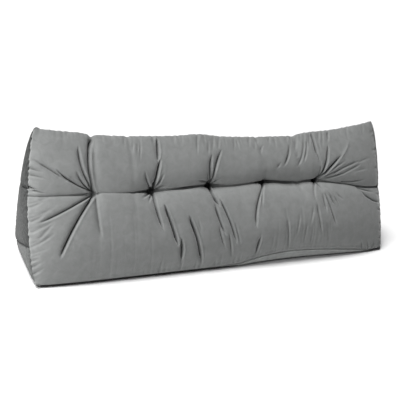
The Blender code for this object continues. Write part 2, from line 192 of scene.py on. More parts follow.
# The folds of the front. Each runs from start to end as (x, up), drawn towards its bend, and has a
# depth and a half width. A negative depth is a raised fold.
FOLDS = in_metres(
    # start_x, start_up, bend_x, bend_up, end_x, end_up, depth, width
    (-543, 329, -581, 429, -538, 544, 26, 3.4),
    (-544, 328, -600, 392, -598, 493, 16, 2.8),
    (-545, 329, -594, 347, -610, 402, 15, 2.8),
    (-545, 327, -622, 347, -678, 407, 15, 3),
    (-642, 365, -693, 405, -747, 439, 8, 2.9),
    (-748, 339, -737, 337, -722, 334, 16, 2.6),
    (-735, 329, -721, 325, -700, 321, 10, 2.4),
    (-745, 382, -723, 379, -700, 369, 6, 2.8),
    (-745, 404, -724, 398, -705, 392, 4, 3),
    (-544, 324, -636, 269, -728, 217, 13, 3),
    (-708, 246, -724, 233, -740, 221, 4, 2.9),
    (-708, 215, -725, 203, -742, 191, 5, 2.9),
    (-684, 223, -713, 183, -742, 144, 4, 3.1),
    (-543, 324, -626, 220, -671, 92, 19, 3.2),
    (-541, 323, -544, 242, -530, 160, 7, 3.1),
    (-307, 331, -295, 394, -278, 456, 22, 3),
    (-291, 435, -279, 490, -276, 541, 25, 3),
    (-305, 330, -282, 362, -268, 399, 10, 2.6),
    (-303, 328, -275, 339, -248, 351, 10, 2.6),
    (-310, 330, -344, 359, -346, 405, 11, 2.8),
    (-309, 325, -337, 314, -366, 299, 10, 2.4),
    (-308, 324, -328, 303, -341, 280, 10, 2.4),
    (-308, 324, -318, 253, -290, 170, 16, 3),
    (-277, 273, -251, 186, -229, 99, 28, 3.4),
    (-223, 138, -204, 89, -214, 37, 26, 3.4),
    (-182, 221, -145, 123, -124, 25, 28, 3.4),
    (-146, 208, -141, 176, -135, 144, 4, 3.1),
    (-380, 528, -385, 503, -390, 479, 5, 2.9),
    (-361, 520, -367, 492, -372, 464, 5, 2.9),
    (-350, 523, -358, 484, -365, 445, 4, 2.9),
    (-106, 532, -115, 495, -124, 459, 4, 2.9),
    (-58, 521, -67, 487, -75, 453, 4, 2.9),
    (-60, 340, -87, 362, -77, 392, 10, 2.6),
    (-59, 341, -74, 400, -56, 461, 17, 3),
    (-56, 343, -50, 419, -7, 485, 13, 3),
    (-64, 339, -96, 353, -129, 357, 9, 2.4),
    (-50, 339, -34, 359, -11, 369, 8, 2.4),
    (-25, 480, -15, 510, -5, 540, 4, 2.9),
    (-58, 331, -70, 291, -42, 248, 24, 3),
    (-67, 263, -55, 195, -31, 130, 15, 3),
    (-58, 175, -52, 121, -29, 71, 10, 2.9),
    (-41, 283, -4, 188, 19, 87, 13, 3),
    (-17, 143, -6, 89, 3, 35, 8, 2.9),
    (13, 186, 18, 130, 39, 77, 5, 3.4),
    (74, 543, 74, 512, 74, 482, 4, 2.9),
    (176, 541, 168, 521, 159, 501, 4, 2.9),
    (196, 509, 175, 490, 171, 462, 7, 2.9),
    (234, 541, 226, 525, 219, 509, 4, 2.9),
    (189, 334, 102, 258, 105, 137, 12, 3),
    (189, 332, 142, 290, 139, 223, 8, 2.7),
    (125, 104, 120, 57, 111, 10, 16, 3),
    (320, 504, 307, 445, 270, 397, 10, 2.9),
    (262, 421, 249, 403, 235, 385, 8, 2.9),
    (355, 462, 342, 447, 330, 433, 4, 2.9),
    (394, 523, 380, 450, 335, 394, 7, 2.9),
    (408, 517, 394, 461, 368, 409, 7, 2.9),
    (441, 541, 435, 481, 439, 420, 16, 2.8),
    (432, 468, 444, 423, 450, 376, 7, 2.7),
    (436, 319, 448, 355, 450, 393, 9, 2.7),
    (460, 507, 456, 475, 456, 444, 4, 2.9),
    (523, 533, 514, 510, 504, 488, 14, 2.8),
    (441, 326, 487, 395, 501, 477, 16, 2.8),
    (436, 317, 492, 372, 557, 424, 20, 3),
    (504, 377, 575, 420, 617, 488, -4, 4),
    (438, 317, 537, 369, 646, 389, 6, 2.5),
    (484, 331, 541, 361, 600, 383, 6, 2.4),
    (497, 324, 578, 350, 657, 378, 5, 2.4),
    (623, 379, 666, 390, 710, 397, 3, 3),
    (606, 344, 646, 351, 687, 351, 3, 3),
    (441, 318, 515, 332, 587, 351, 7, 2.7),
    (476, 342, 521, 380, 577, 399, 5, 2.4),
    (554, 305, 611, 298, 668, 306, 7, 2.9),
    (433, 315, 394, 283, 396, 225, 8, 2.8),
    (434, 315, 438, 290, 449, 264, 8, 2.6),
    (450, 267, 464, 182, 489, 100, 10, 2.7),
    (400, 216, 400, 140, 416, 66, 10, 2.8),
    (382, 209, 372, 164, 356, 121, 4, 3.2),
    (440, 262, 438, 214, 441, 166, 10, 2.5),
    (468, 266, 476, 225, 497, 188, 9, 2.5),
    (484, 266, 497, 230, 510, 194, 6, 2.6),
    (501, 264, 517, 239, 543, 223, 5, 2.6),
    (343, 131, 330, 77, 334, 22, 4, 3.4),
    (368, 118, 368, 68, 366, 18, 3, 3.4),
    (309, 181, 300, 121, 288, 61, 3, 3.6),
    (438, 129, 449, 85, 452, 39, 3, 3.4),
    (435, 314, 451, 263, 516, 221, -3, 4.5),
    (248, 160, 253, 84, 260, 15, 8, 3.1),
    (339, 118, 336, 79, 334, 39, 4, 3.1),
    (629, 273, 672, 257, 716, 243, 6, 2.9),
    (642, 257, 684, 213, 743, 193, 8, 2.9),
)
FOLD_SAMPLES = 12
FOLD_TAPER = 0.05  # how far before its end a fold starts to fade
FOLD_TIP = 0.12  # how much of that fading is left out at the end itself
FOLD_VALLEY_SHARE = 0.17  # the soft valley that a fold lies in, as a share of its depth
FOLD_VALLEY_WIDTH = 0.015
FOLD_REACH = 3 * FOLD_VALLEY_WIDTH  # how far beside a fold it still moves the front
FOLD_ROUNDING = 0.0009
FOLD_CORE = 0.0021  # half the width of the painted shade inside a fold
FOLD_CLOSED = 0.02  # the depth from which a fold is closed and gets its full painted shade inside
# the depth from which the crease's slit gets its full painted shade inside
SLIT_CLOSED = 0.022
# the point attribute that carries painted shade inside folds and seams, and below 0 painted highlights
PAINTED_LIGHT_LAYER = "painted_shade_and_highlight"
PAINTED_SHADE_STRENGTH = 0.82  # how much darker painted shade makes a closed fold's inside; below 0 it scales painted highlights
FOLD_ROLL_SHARE = 0.28  # the soft roll beside a fold, as a share of its depth
FOLD_ROLL_GAP = 0.0072
FOLD_ROLL_WIDTH = 0.0046
FOLD_ROLL_SIDE = (0.8, -0.6)  # the side, as (x, up), on which the folds roll over
OPEN_START = 0.016  # how far from the crease and the seams a fold has to start to fade in

# The folds of the left end panel, like those of the front but in (y, z)
LEFT_END_FOLDS = in_metres(
    # start_y, start_z, bend_y, bend_z, end_y, end_z, depth, width
    (110, 275, 30, 300, -45, 316, 10, 4),
    (114, 30, -2, 93, -105, 138, 8, 4),
    (-81, 118, -100, 78, -126, 26, 8, 4),
)
# how far painted shade reaches from the left end panel's back seam
BACK_SEAM_REACH = 0.005
# painted shade inside the left end panel's folds and along its back seam
END_PAINTED_SHADE = 0.75
FACET_PAINTED_HIGHLIGHT = 1.4  # painted highlight below the long lower fold of the left end panel
# the soft edge of that painted highlight
FACET_EDGE = 0.006
END_GROOVE = 0.003  # how deep the seam draws an end panel in
END_GROOVE_SHARE = 0.03

# The height of the crease up the front: place along the length, up
CREASE_LINE = in_metres(
    (-770, 308), (-660, 314), (-590, 317), (-540, 325.5), (-440, 324.5), (-307, 327), (-220, 330),
    (-120, 332.5), (-57, 334), (64, 333), (193, 333.5), (240, 329.5), (297, 321), (360, 320),
    (436, 316.5), (507, 305), (573, 294), (640, 278), (724, 265), (770, 259),
)

# How deep the narrow slit at the bottom of the crease is: place along the length, depth
SLIT_LINE = in_metres(
    (-750, 4), (-660, 5), (-560, 8), (-510, 2), (-440, 2), (-380, 7), (-300, 12), (-250, 5),
    (-210, 8), (-175, 13), (-140, 11), (-105, 7), (-50, 11), (30, 6), (130, 6), (200, 12),
    (260, 10), (310, 10), (370, 6), (440, 10), (500, 6), (590, 6), (660, 9), (750, 10),
)
SLIT_WIDTH = 0.0024
SLIT_SPREAD = 0.0012  # how much wider the slit is at a tuft

# Gathers along the seams, made in a loop: the seam, how far they lean for each length, and in
# millimetres where it is gathered from and to, their pitch, length, depth and half width
GATHERS = (
    # seam, lean, start, end, pitch, length, depth, width
    ("left", 0.6, 18, 85, 9, 22, 4, 3.4),
    ("left", 0.62, 95, 300, 17, 45, 2.8, 3),
    ("left", -0.3, 330, 500, 34, 28, 2, 4),
    ("right", 0.25, 16, 100, 11, 24, 4.2, 3),
    ("right", 0.2, 115, 240, 22, 22, 3.5, 3.6),
    ("right", -0.15, 290, 520, 26, 24, 3.2, 3.6),
    ("top", -0.2, -700, -560, 30, 22, 1.8, 5),
    ("top", -0.22, -500, -120, 41, 30, 2.4, 5),
    ("top", -0.3, -100, 300, 33, 46, 2.4, 5),
    ("top", -0.35, 320, 520, 22, 50, 3.4, 5),
    ("top", -0.3, 560, 730, 28, 34, 2.4, 5),
    ("bottom", -0.03, -560, -340, 31, 170, 0.5, 5),
    ("bottom", 0.08, -360, 200, 29, 40, 2.2, 4),
    ("bottom", 0.02, 180, 440, 27, 140, 1.1, 5),
    ("bottom", -0.1, 460, 640, 31, 28, 1.6, 4),
    ("bottom", -0.35, 620, 735, 12, 30, 5.2, 3),
)
SEAMS = {"left": (-HALF_LENGTH, 1), "right": (HALF_LENGTH, -1), "top": (SLOPE, -1), "bottom": (0.0, 1)}
GOLDEN = 0.618  # its multiples spread the differences between the gathers evenly

# The grid of the front cover, and how near a fold or the crease it is cut finer, once and twice
LOWER_STEPS = 47
UPPER_STEPS = 39
STATIONS = np.linspace(-HALF_LENGTH, HALF_LENGTH, 259)  # places of the cross-sections
FINE_REACH = (0.013, 0.0065)
FINE_SEAM = 0.026
FINE_DEPTH = 0.0105  # the depth from which a fold is cut finer twice
ON_FRONT = 0.99  # the "on_front" from which a point lies on the front itself
STEP_EASE = 1.12  # how much closer together its rows are at the crease
PLACE_LAYERS = ("along", "up", "on_front")

# The rest of the front cover, which lies under the other covers
BACK_STEPS = 4
BACK_MARGIN = 0.012
BASE_PLACES = (0.012, 0.08, 0.17, 0.21, 0.23, 0.24, 0.248, 0.255, 0.261)
CAP_RINGS = 3
CAP_START = 0.05
CAP_EDGE = 0.985
UNDER_CLOTH = 0.0026  # how deep it lies under the back and base covers
UNDER_END = 0.012
PROBE_STEP = 1e-4  # how far apart the points are that give a surface's direction

# The grids of the other covers, and how far they stop short of their seams
CLOTH = 0.0018
LONG_STEPS = 250
BACK_ROWS = 40
BASE_ROWS = 88
END_ROWS = 70
FRONT_RIM, BACK_RIM, BASE_RIM = 130, 110, 60  # the steps of an end panel's rim along each seam
LONG_EDGE = 0.0015
LONG_MARGIN = 0.003
END_REACH = 0.995
MERGE_GAP = 1e-5

# The velvet of each cover: how far its colour is lifted or lowered as painted light and shade for
# that cover, the contrast and scale of its nap's patches, and its sheen
VELVETS = {
    "front_cover": (1.0, 0.10, 34.0, 0.35),
    "back_cover": (1.05, 0.14, 40.0, 0.35),
    "base_cover": (1.5, 0.14, 40.0, 0.35),
    "left_end_cover": (0.3, 0.45, 130.0, 0.1),
    "right_end_cover": (0.8, 0.45, 130.0, 0.1),
}
PILE_SCALE = 900.0  # how fine the relief of the pile is

# The studio
FLOOR_HALF_SIZE = 40
FLOOR_ROUGHNESS = 0.9
OVERHEAD_PLACE = (-0.79, 0.66, 3.02)
OVERHEAD_SPREAD = math.radians(25)
SIDE_PLACE = (-2.45, -0.75, 1.1)
SIDE_SIZE = 1.0
LIT_MIDDLE = (0.0, 0.0, 0.2)
AMBIENT_STRENGTH = 0.04  # the light of the pale backdrop on the cushion
BACKDROP_STRENGTH = 1.0  # how bright the backdrop itself shows
CAMERA_PLACE = (-1.4604, -2.2694, 1.6378)
CAMERA_TURN = math.radians(31.014)
CAMERA_DOWN = math.radians(28.131)
CAMERA_ROLL = math.radians(11.967)
SENSOR_WIDTH = 36.0


class CushionSizes(bpy.types.PropertyGroup):
    """How far the filling swells the cushion, and how deep its creases are."""

    front_crown: bpy.props.FloatProperty(
        name="Front crown",
        description="How far the filling pushes the front out between its seams",
        default=0.052,
        unit="LENGTH",
    )
    crease_depth: bpy.props.FloatProperty(
        name="Crease depth",
        description="How deep the crease between the two lobes runs",
        default=0.030,
        unit="LENGTH",
    )
    tuft_dip: bpy.props.FloatProperty(
        name="Tuft dip",
        description="How much deeper the crease runs beside a tuft",
        default=0.020,
        unit="LENGTH",
    )
    pit_depth: bpy.props.FloatProperty(
        name="Pit depth",
        description="How deep each tuft pulls its pit into the filling",
        default=0.014,
        unit="LENGTH",
    )
    fold_share: bpy.props.FloatProperty(
        name="Folds",
        description="How strong the folds of the front are",
        default=1.0,
        subtype="FACTOR",
    )


class VelvetLook(bpy.types.PropertyGroup):
    """The colours of the velvet, and of the painted contact shadow on the base cloth."""

    front_colour: bpy.props.FloatVectorProperty(
        name="Front",
        description="The colour of the front cover",
        default=(0.228, 0.234, 0.231),
        subtype="COLOR",
    )
    panel_colour: bpy.props.FloatVectorProperty(
        name="Panels",
        description="The colour of the back, base and end panels",
        default=(0.205, 0.212, 0.208),
        subtype="COLOR",
    )
    # Painted contact shadow: a dark edge painted on the base cloth near the floor, under the front seam
    contact_shadow_colour: bpy.props.FloatVectorProperty(
        name="Underside",
        description="The colour of the underside, which shows as a thin dark edge",
        default=(0.012, 0.012, 0.012),
        subtype="COLOR",
    )
    pile: bpy.props.FloatProperty(
        name="Pile",
        description="The length of the velvet's pile",
        default=0.0012,
        unit="LENGTH",
    )


class StudioSetup(bpy.types.PropertyGroup):
    """The floor, the lights and the camera."""

    floor_colour: bpy.props.FloatVectorProperty(
        name="Floor",
        description="The colour of the floor",
        default=(0.90, 0.90, 0.90),
        subtype="COLOR",
    )
    overhead_strength: bpy.props.FloatProperty(
        name="Overhead light",
        description="The strength of the even light from above, a little behind and to the left",
        default=3.80,
    )
    side_power: bpy.props.FloatProperty(
        name="Side light",
        description="The power of the soft light at the left",
        default=32.0,
        unit="POWER",
    )
    lens: bpy.props.FloatProperty(
        name="Lens",
        description="The camera's focal length in millimetres",
        default=70.57,
    )


def smooth_step(values):
    """0 below 0, 1 above 1, and an even ease between."""
    clear = np.clip(values, 0.0, 1.0)
    return clear * clear * (3 - 2 * clear)


def arch(fraction, power):
    """A rounded arch: 0 at both ends of the span and 1 in its middle."""
    return np.maximum(0.0, np.sin(np.pi * np.clip(fraction, 0.0, 1.0))) ** power


def bell(distance, reach):
    """1 at no distance, fading evenly to nothing some way past the reach."""
    return np.exp(-((distance / reach) ** 2))


def between_seams(share, reach):
    """0 where share is 0 or 1, at a seam, easing to 1 at that reach from both."""
    return smooth_step(share / reach) * smooth_step((1 - share) / reach)


def read_line(rows, x):
    """The values at x on the smooth line through the (place, value) rows."""
    places, values = np.array(rows).T
    last = len(rows) - 1
    place = np.clip(x, places[0], places[-1])
    before = np.maximum(np.arange(last + 1) - 1, 0)
    after = np.minimum(np.arange(last + 1) + 1, last)
    slopes = (values[after] - values[before]) / (places[after] - places[before])
    i = np.clip(np.searchsorted(places, place, side="left") - 1, 0, last - 1)
    span = places[i + 1] - places[i]
    f = (place - places[i]) / span
    return (
        values[i] * (1 + 2 * f) * (1 - f) ** 2
        + span * slopes[i] * f * (1 - f) ** 2
        + values[i + 1] * f * f * (3 - 2 * f)
        + span * slopes[i + 1] * f * f * (f - 1)
    )


def top_drop(x, share):
    """How far the top seam lies below its corners at x, as it shows share of the way up to it."""
    gathered = sum(drop * bell(x - at, reach) for at, drop, reach in TOP_GATHERS)
    wave = TOP_WAVE * share**TOP_WAVE_FADE * ripple(x, TOP_WAVE_PITCH, TOP_WAVE_SHIFT)
    return read_line(TOP_LINE, x) + gathered + wave


def end_share(x, power):
    """0 in the middle of the length, rising to 1 at either end."""
    return (np.abs(x) / HALF_LENGTH) ** power


def bottom_seam(x):
    """The place across the depth and the height of the front bottom seam at x."""
    height = read_line(BOTTOM_LINE, x)
    forward = SEAM_FORWARD * (1 - end_share(x, BOW_REACH))
    return FRONT_Y - forward + SEAM_SET_BACK * height, height


def crown_share(x):
    """How much of a panel's crown is reached at x."""
    return np.maximum(0.0, 1 - end_share(x, END_FADE)) ** END_FADE_POWER


def bowed_x(x, up, span_fraction, strength=1.0):
    """The true place along the length of a point at x."""
    bow = np.where(x < 0, -LEFT_BOW, RIGHT_BOW) * strength
    outward = bow * arch(span_fraction, BOW_POWER) * end_share(x, BOW_REACH)
    gathered = SEAM_WAVE * ripple(span_fraction * SLOPE, SEAM_WAVE_PITCH, SEAM_WAVE_SHIFT)
    gathered *= end_share(x, SEAM_WAVE_REACH) * between_seams(span_fraction, SEAM_EASE)
    return x * (1 - EAR_INSET * up / HALF_LENGTH) + outward + np.sign(x) * gathered


def ripple(places, pitch, shift):
    """An uneven wave along the places, between about -1 and 1, with crests about a pitch apart."""
    turn = 2 * math.pi * places / pitch
    return (
        0.55 * np.sin(turn + shift + 1.3 * np.sin(0.31 * turn + 2.1 * shift))
        + 0.30 * np.sin(1.71 * turn + 3.7 * shift)
        + 0.15 * np.sin(2.63 * turn + 5.9 * shift)
    )


def crease_relief(sizes, x, up):
    """How far the crease and the tufts draw the front in at (x, up)."""
    gap = up - read_line(CREASE_LINE, x)
    depth = np.full_like(x, sizes.crease_depth)
    pits = np.zeros_like(x)
    for tuft, pit_share, reach in TUFTS:
        depth += sizes.tuft_dip * np.exp(-np.abs(x - tuft) / TUFT_DIP_REACH)
        pits += pit_share * sizes.pit_depth * np.exp(-np.hypot((x - tuft) / reach, gap / PIT_RISE))
    share = CREASE_LEFT_AT_ENDS + (1 - CREASE_LEFT_AT_ENDS) * crown_share(x)
    share *= read_line(CREASE_SHARES, x)
    return -share * (depth * np.exp(-np.abs(gap) / CREASE_SPREAD) + pits)


def front_form(sizes, x, t):
    """The front's points at x, t of the way from the bottom seam to the top, without its folds."""
    bottom_y, bottom_z = bottom_seam(x)
    top_z = HEIGHT - top_drop(x, t)
    rounded = 1 - END_ROUND_SHARE * (1 - smooth_step((HALF_LENGTH - np.abs(x)) / END_ROUND_REACH))
    crown = (END_CROWN * rounded + sizes.front_crown * crown_share(x)) * arch(t, CROWN_POWER)
    belly = BELLY * crown_share(x) * bell(t - BELLY_PLACE, BELLY_REACH)
    out = crown + between_seams(t, SEAM_EASE) * (belly + crease_relief(sizes, x, t * SLOPE))
    flat_y = bottom_y + t * (TOP_Y - bottom_y)
    flat_z = bottom_z + t * (top_z - bottom_z)
    return np.stack((bowed_x(x, t, t), flat_y, flat_z), axis=-1) + out[..., None] * FRONT_OUT


def back_form(sizes, x, t):
    """The back's points at x, t of the way from the top seam to the rear bottom seam."""
    top_z = HEIGHT - top_drop(x, 1 - t)
    crown = (END_CROWN + BACK_CROWN * crown_share(x)) * arch(t, CROWN_POWER)
    y = TOP_Y + t * (BACK_Y - TOP_Y) + crown
    z = top_z + t * (SEAM_LIFT - top_z)
    return np.stack((bowed_x(x, 1 - t, t, BACK_BOW_SHARE), y, z), axis=-1)


def base_form(sizes, x, t):
    """The base's points at x, t of the way from the rear bottom seam to the front bottom seam.

    Behind the front seam the cloth first drops as a band, then turns under just above the floor.
    """
    front_y, front_z = bottom_seam(x)
    run = (1 - t) * DEPTH
    lip = np.minimum(front_z, LIP_HEIGHT)
    band = np.maximum(front_z - lip, LEAST_BAND)
    down = np.clip(run / band, 0.0, 1.0)
    under = np.maximum(0.0, run - band) / (DEPTH - band)
    foot_y = front_y + FOOT_SET_BACK * front_z
    y = front_y + down * (foot_y - front_y) + under * (BACK_Y - foot_y) - BAND_BULGE * np.sin(np.pi * down)
    ledge = bell(run - LEDGE_DROP, LEDGE_REACH) * smooth_step(run / LEDGE_DROP) * crown_share(x)
    y -= LEDGE * ledge * smooth_step(band / LEDGE_BAND - 1)
    rear_roll = 1 - smooth_step(t * DEPTH / BASE_ROLL)
    end_roll = 1 - smooth_step((HALF_LENGTH - np.abs(x)) / BASE_ROLL)
    rolled_under = lip * (1 - smooth_step(under * DEPTH / LIP_REACH))
    front_part = np.where(down < 1, front_z - down * band, rolled_under)
    z = np.maximum(SEAM_LIFT * np.maximum(rear_roll, end_roll), front_part)
    return np.stack((bowed_x(x, 0, t, BASE_BOW_SHARE), y, z), axis=-1)


def sunk(form, sizes, x, t, depth):
    """The points of that form, moved into the cushion by depth."""
    side_x = np.where(x < 0, x + PROBE_STEP, x - PROBE_STEP)
    side_t = np.where(t < 0.5, t + PROBE_STEP, t - PROBE_STEP)
    point = form(sizes, x, t)
    normal = np.cross(form(sizes, side_x, t) - point, form(sizes, x, side_t) - point)
    normal /= np.linalg.norm(normal, axis=-1, keepdims=True)
    inward = (0.0, END_MIDDLE_Y, END_MIDDLE_Z) - point * (0, 1, 1)
    normal *= np.sign((inward * normal).sum(axis=-1, keepdims=True))
    return point + normal * depth


def fold_curve(start_x, start_up, bend_x, bend_up, end_x, end_up):
    """Points along one fold."""
    f = np.linspace(0.0, 1.0, FOLD_SAMPLES + 1)[:, None]
    return (1 - f) ** 2 * (start_x, start_up) + 2 * f * (1 - f) * (bend_x, bend_up) + f * f * (end_x, end_up)


def starts_open(start):
    """Whether a fold starts away from the crease and the seams, and so has to fade in."""
    x, up = start
    to_crease = abs(up - read_line(CREASE_LINE, x))
    return min(to_crease, up, SLOPE - up, HALF_LENGTH - abs(x)) > OPEN_START


def from_curve(points, places):
    """Each place's gap to the curve, how much of the curve is left there, and the place's side of it."""
    nearest = np.full(len(places), np.inf)
    left = np.zeros(len(places))
    side = np.zeros(len(places))
    lengths = np.linalg.norm(np.diff(points, axis=0), axis=1)
    for k, length in enumerate(lengths):
        along = points[k + 1] - points[k]
        f = np.clip((places - points[k]) @ along / length**2, 0.0, 1.0)
        offset = places - points[k] - f[:, None] * along
        gap = np.linalg.norm(offset, axis=1)
        closer = gap < nearest
        nearest[closer] = gap[closer]
        left[closer] = (lengths[k:].sum() - f * length)[closer]
        side[closer] = np.sign(offset @ FOLD_ROLL_SIDE)[closer]
    if starts_open(points[0]):
        left = np.minimum(left, lengths.sum() - left)
    return nearest, left, side


def groove(gap, width):
    """A crisp groove: 1 at no gap, falling off over the width on either side."""
    rounded = np.sqrt(gap**2 + FOLD_ROUNDING**2) - FOLD_ROUNDING
    return np.exp(-rounded / width)


def gather_rows():
    """The gathers beside the seams, as rows like those of the folds.

    Their places, lengths, leans and depths differ from one to the next, by fixed steps.
    """
    rows = []
    for seam, lean, *sizes in GATHERS:
        start, end, pitch, length, depth, width = in_metres(sizes)[0]
        for k in range(round((end - start) / pitch) + 1):
            chance = (GOLDEN * (k + 1)) % 1.0
            other = (GOLDEN * (k + 1) * 7) % 1.0
            place = start + pitch * (k + 0.6 * (chance - 0.5))
            run = length * (0.4 + 1.2 * other)
            rise = lean * run * (0.6 + 0.8 * chance)
            edge, inward = SEAMS[seam]
            across = (edge, edge + inward * run / 2, edge + inward * run)
            along = (place, place + 0.4 * rise, place + rise)
            points = zip(across, along) if seam in ("left", "right") else zip(along, across)
            curve = [value for point in points for value in point]
            rows.append((*curve, depth * (0.5 + chance), width))
    return rows


def each_fold(rows, x, up, reach):
    """For each row, which places are within its reach, from_curve for them, its depth and width."""
    places = np.stack((x, up), axis=-1)
    for *curve, depth, width in rows:
        points = fold_curve(*curve)
        low = points.min(axis=0) - reach
        high = points.max(axis=0) + reach
        near = np.flatnonzero(((places > low) & (places < high)).all(axis=1))
        yield near, *from_curve(points, places[near]), depth, width


def fold_relief(rows, x, up):
    """How far those folds move the front at each (x, up), and how much painted shade it gets inside a fold.
    """
    sunk_in = np.zeros_like(x)
    raised = np.zeros_like(x)
    inside = np.zeros_like(x)
    for near, gap, left, side, depth, width in each_fold(rows, x, up, FOLD_REACH):
        height = depth * smooth_step(FOLD_TIP + left / FOLD_TAPER)
        profile = groove(gap, width) + FOLD_VALLEY_SHARE * bell(gap, FOLD_VALLEY_WIDTH)
        if depth > 0:
            roll = FOLD_ROLL_SHARE * bell(gap * side - FOLD_ROLL_GAP, FOLD_ROLL_WIDTH)
            sunk_in[near] = np.maximum(sunk_in[near], height * profile)
            raised[near] = np.maximum(raised[near], height * roll)
            core = np.minimum(1.0, height / FOLD_CLOSED) * bell(gap, FOLD_CORE)
            inside[near] = np.maximum(inside[near], core)
        else:
            raised[near] = np.maximum(raised[near], -height * profile)
    return raised - sunk_in, inside


def slit_relief(x, up):
    """How far the crease's narrow slit moves the front at each (x, up), and how much painted shade it gets
    inside.
    """
    width = SLIT_WIDTH + SLIT_SPREAD * sum(bell(x - tuft, reach) for tuft, _, reach in TUFTS)
    gap = up - read_line(CREASE_LINE, x)
    depth = read_line(SLIT_LINE, x)
    inside = bell(gap, FOLD_CORE + 0.5 * (width - SLIT_WIDTH))
    return -depth * groove(gap, width), np.minimum(1.0, depth / SLIT_CLOSED) * inside


def fold_gap(rows, x, up):
    """How far each (x, up) lies from the nearest fold or from the crease."""
    nearest = np.abs(up - read_line(CREASE_LINE, x))
    for near, gap, *_ in each_fold(rows, x, up, FINE_REACH[0]):
        nearest[near] = np.minimum(nearest[near], gap)
    return nearest


def front_places(x):
    """Places up the front for the points of the cross-section at x, closer together at the crease."""
    crease = read_line(CREASE_LINE, x) / SLOPE
    lower = crease * (1 - (1 - np.arange(LOWER_STEPS + 1) / LOWER_STEPS) ** STEP_EASE)
    upper = crease + (1 - crease) * (np.arange(1, UPPER_STEPS + 1) / UPPER_STEPS) ** STEP_EASE
    return np.concatenate((lower, upper))


def cushion_section(sizes, x):
    """The points round the cushion at x, up the front, down the back and along the base."""
    t = front_places(x)
    back = np.linspace(BACK_MARGIN, 1 - BACK_MARGIN, BACK_STEPS)
    base = np.array(BASE_PLACES) / DEPTH
    front = front_form(sizes, np.full_like(t, x), t)
    behind = sunk(back_form, sizes, np.full_like(back, x), back, UNDER_CLOTH)
    under = sunk(base_form, sizes, np.full_like(base, x), base, UNDER_CLOTH)
    return np.concatenate((front, behind, under))


def end_relief(side, y, z, share):
    """How far the folds and the seam draw an end panel in at (y, z)."""
    places = np.stack((y, z), axis=-1).reshape(-1, 2)
    relief = END_GROOVE * bell(1 - share, END_GROOVE_SHARE)
    if side < 0:
        for *curve, depth, width in LEFT_END_FOLDS:
            gap = from_curve(fold_curve(*curve), places)[0]
            relief = relief + depth * groove(gap, width).reshape(y.shape)
    return relief * smooth_step((1 - share) / END_GROOVE_SHARE)


def end_points(side, rim, share, depth):
    """The points of an end, share of the way from its middle to each point of the rim."""
    middle = np.array((side * (HALF_LENGTH + END_PANEL_CROWN), END_MIDDLE_Y, END_MIDDLE_Z))
    share = np.broadcast_to(share, rim.shape[:-1])
    points = middle + (rim - middle) * share[..., None]
    fall = 1 - (1 - share**2) ** END_PANEL_POWER
    drawn_in = end_relief(side, points[..., 1], points[..., 2], share)
    points[..., 0] = middle[0] + (rim[..., 0] - middle[0]) * fall - side * (depth + drawn_in)
    return points


def shade_end(mesh, rim):
    """Paints shade into the left end panel's folds and along its back seam, and a highlight below its lower
    fold.
    """
    places = read_vectors(mesh, "co")[:, 1:]
    y, z = places.T
    lower = fold_curve(*LEFT_END_FOLDS[1][:6])[::-1]
    below = smooth_step((np.interp(y, lower[:, 0], lower[:, 1]) - z) / FACET_EDGE)
    gaps = [from_curve(fold_curve(*row[:6]), places)[0] for row in LEFT_END_FOLDS]
    core = bell(np.minimum.reduce(gaps), FOLD_CORE)
    back_seam = rim[FRONT_RIM : FRONT_RIM + BACK_RIM : 2, 1:]
    to_seam = np.linalg.norm(places[:, None] - back_seam, axis=-1).min(axis=1)
    core = np.maximum(core, bell(to_seam, BACK_SEAM_REACH))
    # painted shade in folds and at the back seam, painted highlight on the facet below
    write_painted_light(mesh, END_PAINTED_SHADE * core - FACET_PAINTED_HIGHLIGHT * below * (1 - core))


def write_painted_light(mesh, values):
    """Keeps each point's painted shade, or below 0 its painted highlight."""
    layer = mesh.attributes.new(PAINTED_LIGHT_LAYER, "FLOAT", "POINT")
    layer.data.foreach_set("value", values.astype(np.float32))


def cushion_rings(sizes):
    """All the rings of points round the cushion, from its left end to its right end."""
    sections = [cushion_section(sizes, x) for x in STATIONS]
    shares = np.linspace(CAP_START, CAP_EDGE, CAP_RINGS + 1)
    left = [end_points(-1, sections[0], share, UNDER_END) for share in shares]
    right = [end_points(1, sections[-1], share, UNDER_END) for share in shares[::-1]]
    return left + sections + right


def wrapped_sphere(name, rings):
    """A sphere drawn out to the given rings, with each pole in the middle of the ring beside it.

    Each point of the front keeps its (x, up) in the mesh, and an "on_front" of 1.
    """
    bm = bmesh.new()
    around = len(rings[0])
    steps = len(rings) + 1
    bmesh.ops.create_uvsphere(bm, u_segments=around, v_segments=steps, radius=1)
    layers = [bm.verts.layers.float.new(layer) for layer in PLACE_LAYERS]
    ups = np.array([front_places(x) for x in STATIONS]) * SLOPE
    for vert in bm.verts:
        ring = round(math.acos(max(-1.0, min(1.0, -vert.co.z))) / math.pi * steps)
        point = round(math.atan2(vert.co.y, vert.co.x) / (2 * math.pi) * around) % around
        if ring in (0, steps):
            vert.co = rings[0 if ring == 0 else -1].mean(axis=0)
        else:
            vert.co = rings[ring - 1][point]
        station = ring - (CAP_RINGS + 2)
        if 0 <= station < len(STATIONS) and point < ups.shape[1]:
            for layer, value in zip(layers, (STATIONS[station], ups[station, point], 1.0)):
                vert[layer] = value
    if bm.calc_volume(signed=True) < 0:
        bmesh.ops.reverse_faces(bm, faces=bm.faces)
    return new_object(name, bm)


def new_object(name, bm):
    """A new object with the bmesh as its smooth mesh."""
    mesh = bpy.data.meshes.new(name)
    bm.to_mesh(mesh)
    bm.free()
    mesh.shade_smooth()
    obj = bpy.data.objects.new(name, mesh)
    bpy.context.scene.collection.objects.link(obj)
    return obj


